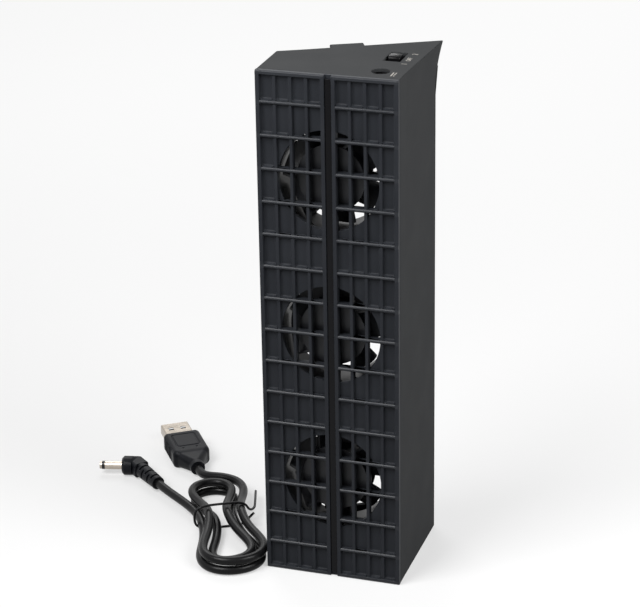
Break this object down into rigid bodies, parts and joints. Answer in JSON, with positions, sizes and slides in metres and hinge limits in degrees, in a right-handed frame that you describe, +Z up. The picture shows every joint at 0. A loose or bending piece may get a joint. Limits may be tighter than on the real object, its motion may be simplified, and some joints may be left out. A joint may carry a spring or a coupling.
{
  "type": "console cooling fan",
  "caption": "Upright wedge-shaped cooling fan for the back of a game console: a slatted front panel over small axial fans, with a slide switch, a power inlet and a short USB cable.",
  "frame": {"origin": "middle of the lower end that the fan stands on, halfway between the front face and the slanted back", "axes": "+Z up along the height, -Y out of the slatted front, +X to the thick side of the wedge"},
  "size_m": [0.1487, 0.1142, 0.2009],
  "materials": {
    "grille_plastic": "black ABS moulding, fine matt texture",
    "trim_gloss": "glossy black strip",
    "housing_plastic": "black ABS moulding, fine matt texture",
    "rear_plastic": "black ABS moulding",
    "fan_plastic": "black glass-filled PBT",
    "rotor_plastic": "black glass-filled PBT, satin",
    "magnet": "bonded ferrite",
    "steel": "zinc-plated steel",
    "bronze": "bronze",
    "core_steel": "stacked steel sheets",
    "copper_wire": "enamelled copper wire",
    "circuit_board": "glass-epoxy board",
    "jack_plastic": "black nylon",
    "nickel": "nickel plate",
    "knob_plastic": "black nylon",
    "header_plastic": "natural nylon",
    "lead_red": "PVC insulation",
    "lead_black": "PVC insulation",
    "plug_plastic": "overmoulded black PVC",
    "tongue_plastic": "black thermoplastic",
    "gold_contact": "gold flash",
    "insulator": "black thermoplastic",
    "cable_jacket": "black PVC, satin",
    "tie_plastic": "plastic-coated wire"
  },
  "bodies": {
    "root": {"front_grille": "grille_plastic", "centre_trim": "trim_gloss", "housing": "housing_plastic", "rear_frame": "rear_plastic", "fan_frame_1": "fan_plastic", "fan_frame_2": "fan_plastic", "fan_frame_3": "fan_plastic", "bearing_1": "bronze", "bearing_2": "bronze", "bearing_3": "bronze", "stator_1": "core_steel", "stator_2": "core_steel", "stator_3": "core_steel", "windings_1": "copper_wire", "windings_2": "copper_wire", "windings_3": "copper_wire", "fan_board_1": "circuit_board", "fan_board_2": "circuit_board", "fan_board_3": "circuit_board", "fan_screws": "steel", "control_board": "circuit_board", "board_screws": "steel", "dc_jack": "jack_plastic", "dc_jack_pin": "nickel", "dc_jack_spring": "bronze", "switch_case": "jack_plastic", "switch_cover": "steel", "switch_terminals": "nickel", "fan_headers": "header_plastic", "fan_leads_red": "lead_red", "fan_leads_black": "lead_black", "case_screws": "steel", "usb_moulding": "plug_plastic", "usb_shell": "nickel", "usb_tongue": "tongue_plastic", "usb_contacts": "gold_contact", "dc_plug_body": "plug_plastic", "dc_plug_barrel": "nickel", "dc_plug_insulator": "insulator", "dc_plug_contact": "bronze", "power_cable": "cable_jacket", "cable_tie": "tie_plastic"},
    "fan_rotor_1": {"rotor_1": "rotor_plastic", "magnet_1": "magnet", "shaft_1": "steel"},
    "fan_rotor_2": {"rotor_2": "rotor_plastic", "magnet_2": "magnet", "shaft_2": "steel"},
    "fan_rotor_3": {"rotor_3": "rotor_plastic", "magnet_3": "magnet", "shaft_3": "steel"},
    "knob": {"switch_knob": "knob_plastic"}
  },
  "joints": [
    {"name": "fan_1_spin", "type": "hinge", "parent": "root", "child": "fan_rotor_1", "pos_m": [0, -0.01008, 0.04], "axis": [0, 1, 0], "continuous": true},
    {"name": "fan_2_spin", "type": "hinge", "parent": "root", "child": "fan_rotor_2", "pos_m": [0, -0.01008, 0.1], "axis": [0, 1, 0], "continuous": true},
    {"name": "fan_3_spin", "type": "hinge", "parent": "root", "child": "fan_rotor_3", "pos_m": [0, -0.01008, 0.16], "axis": [0, 1, 0], "continuous": true},
    {"name": "switch_slide", "type": "slide", "parent": "root", "child": "knob", "axis": [0, 1, 0], "range_m": [-0.0025, 0.0025]}
  ]
}
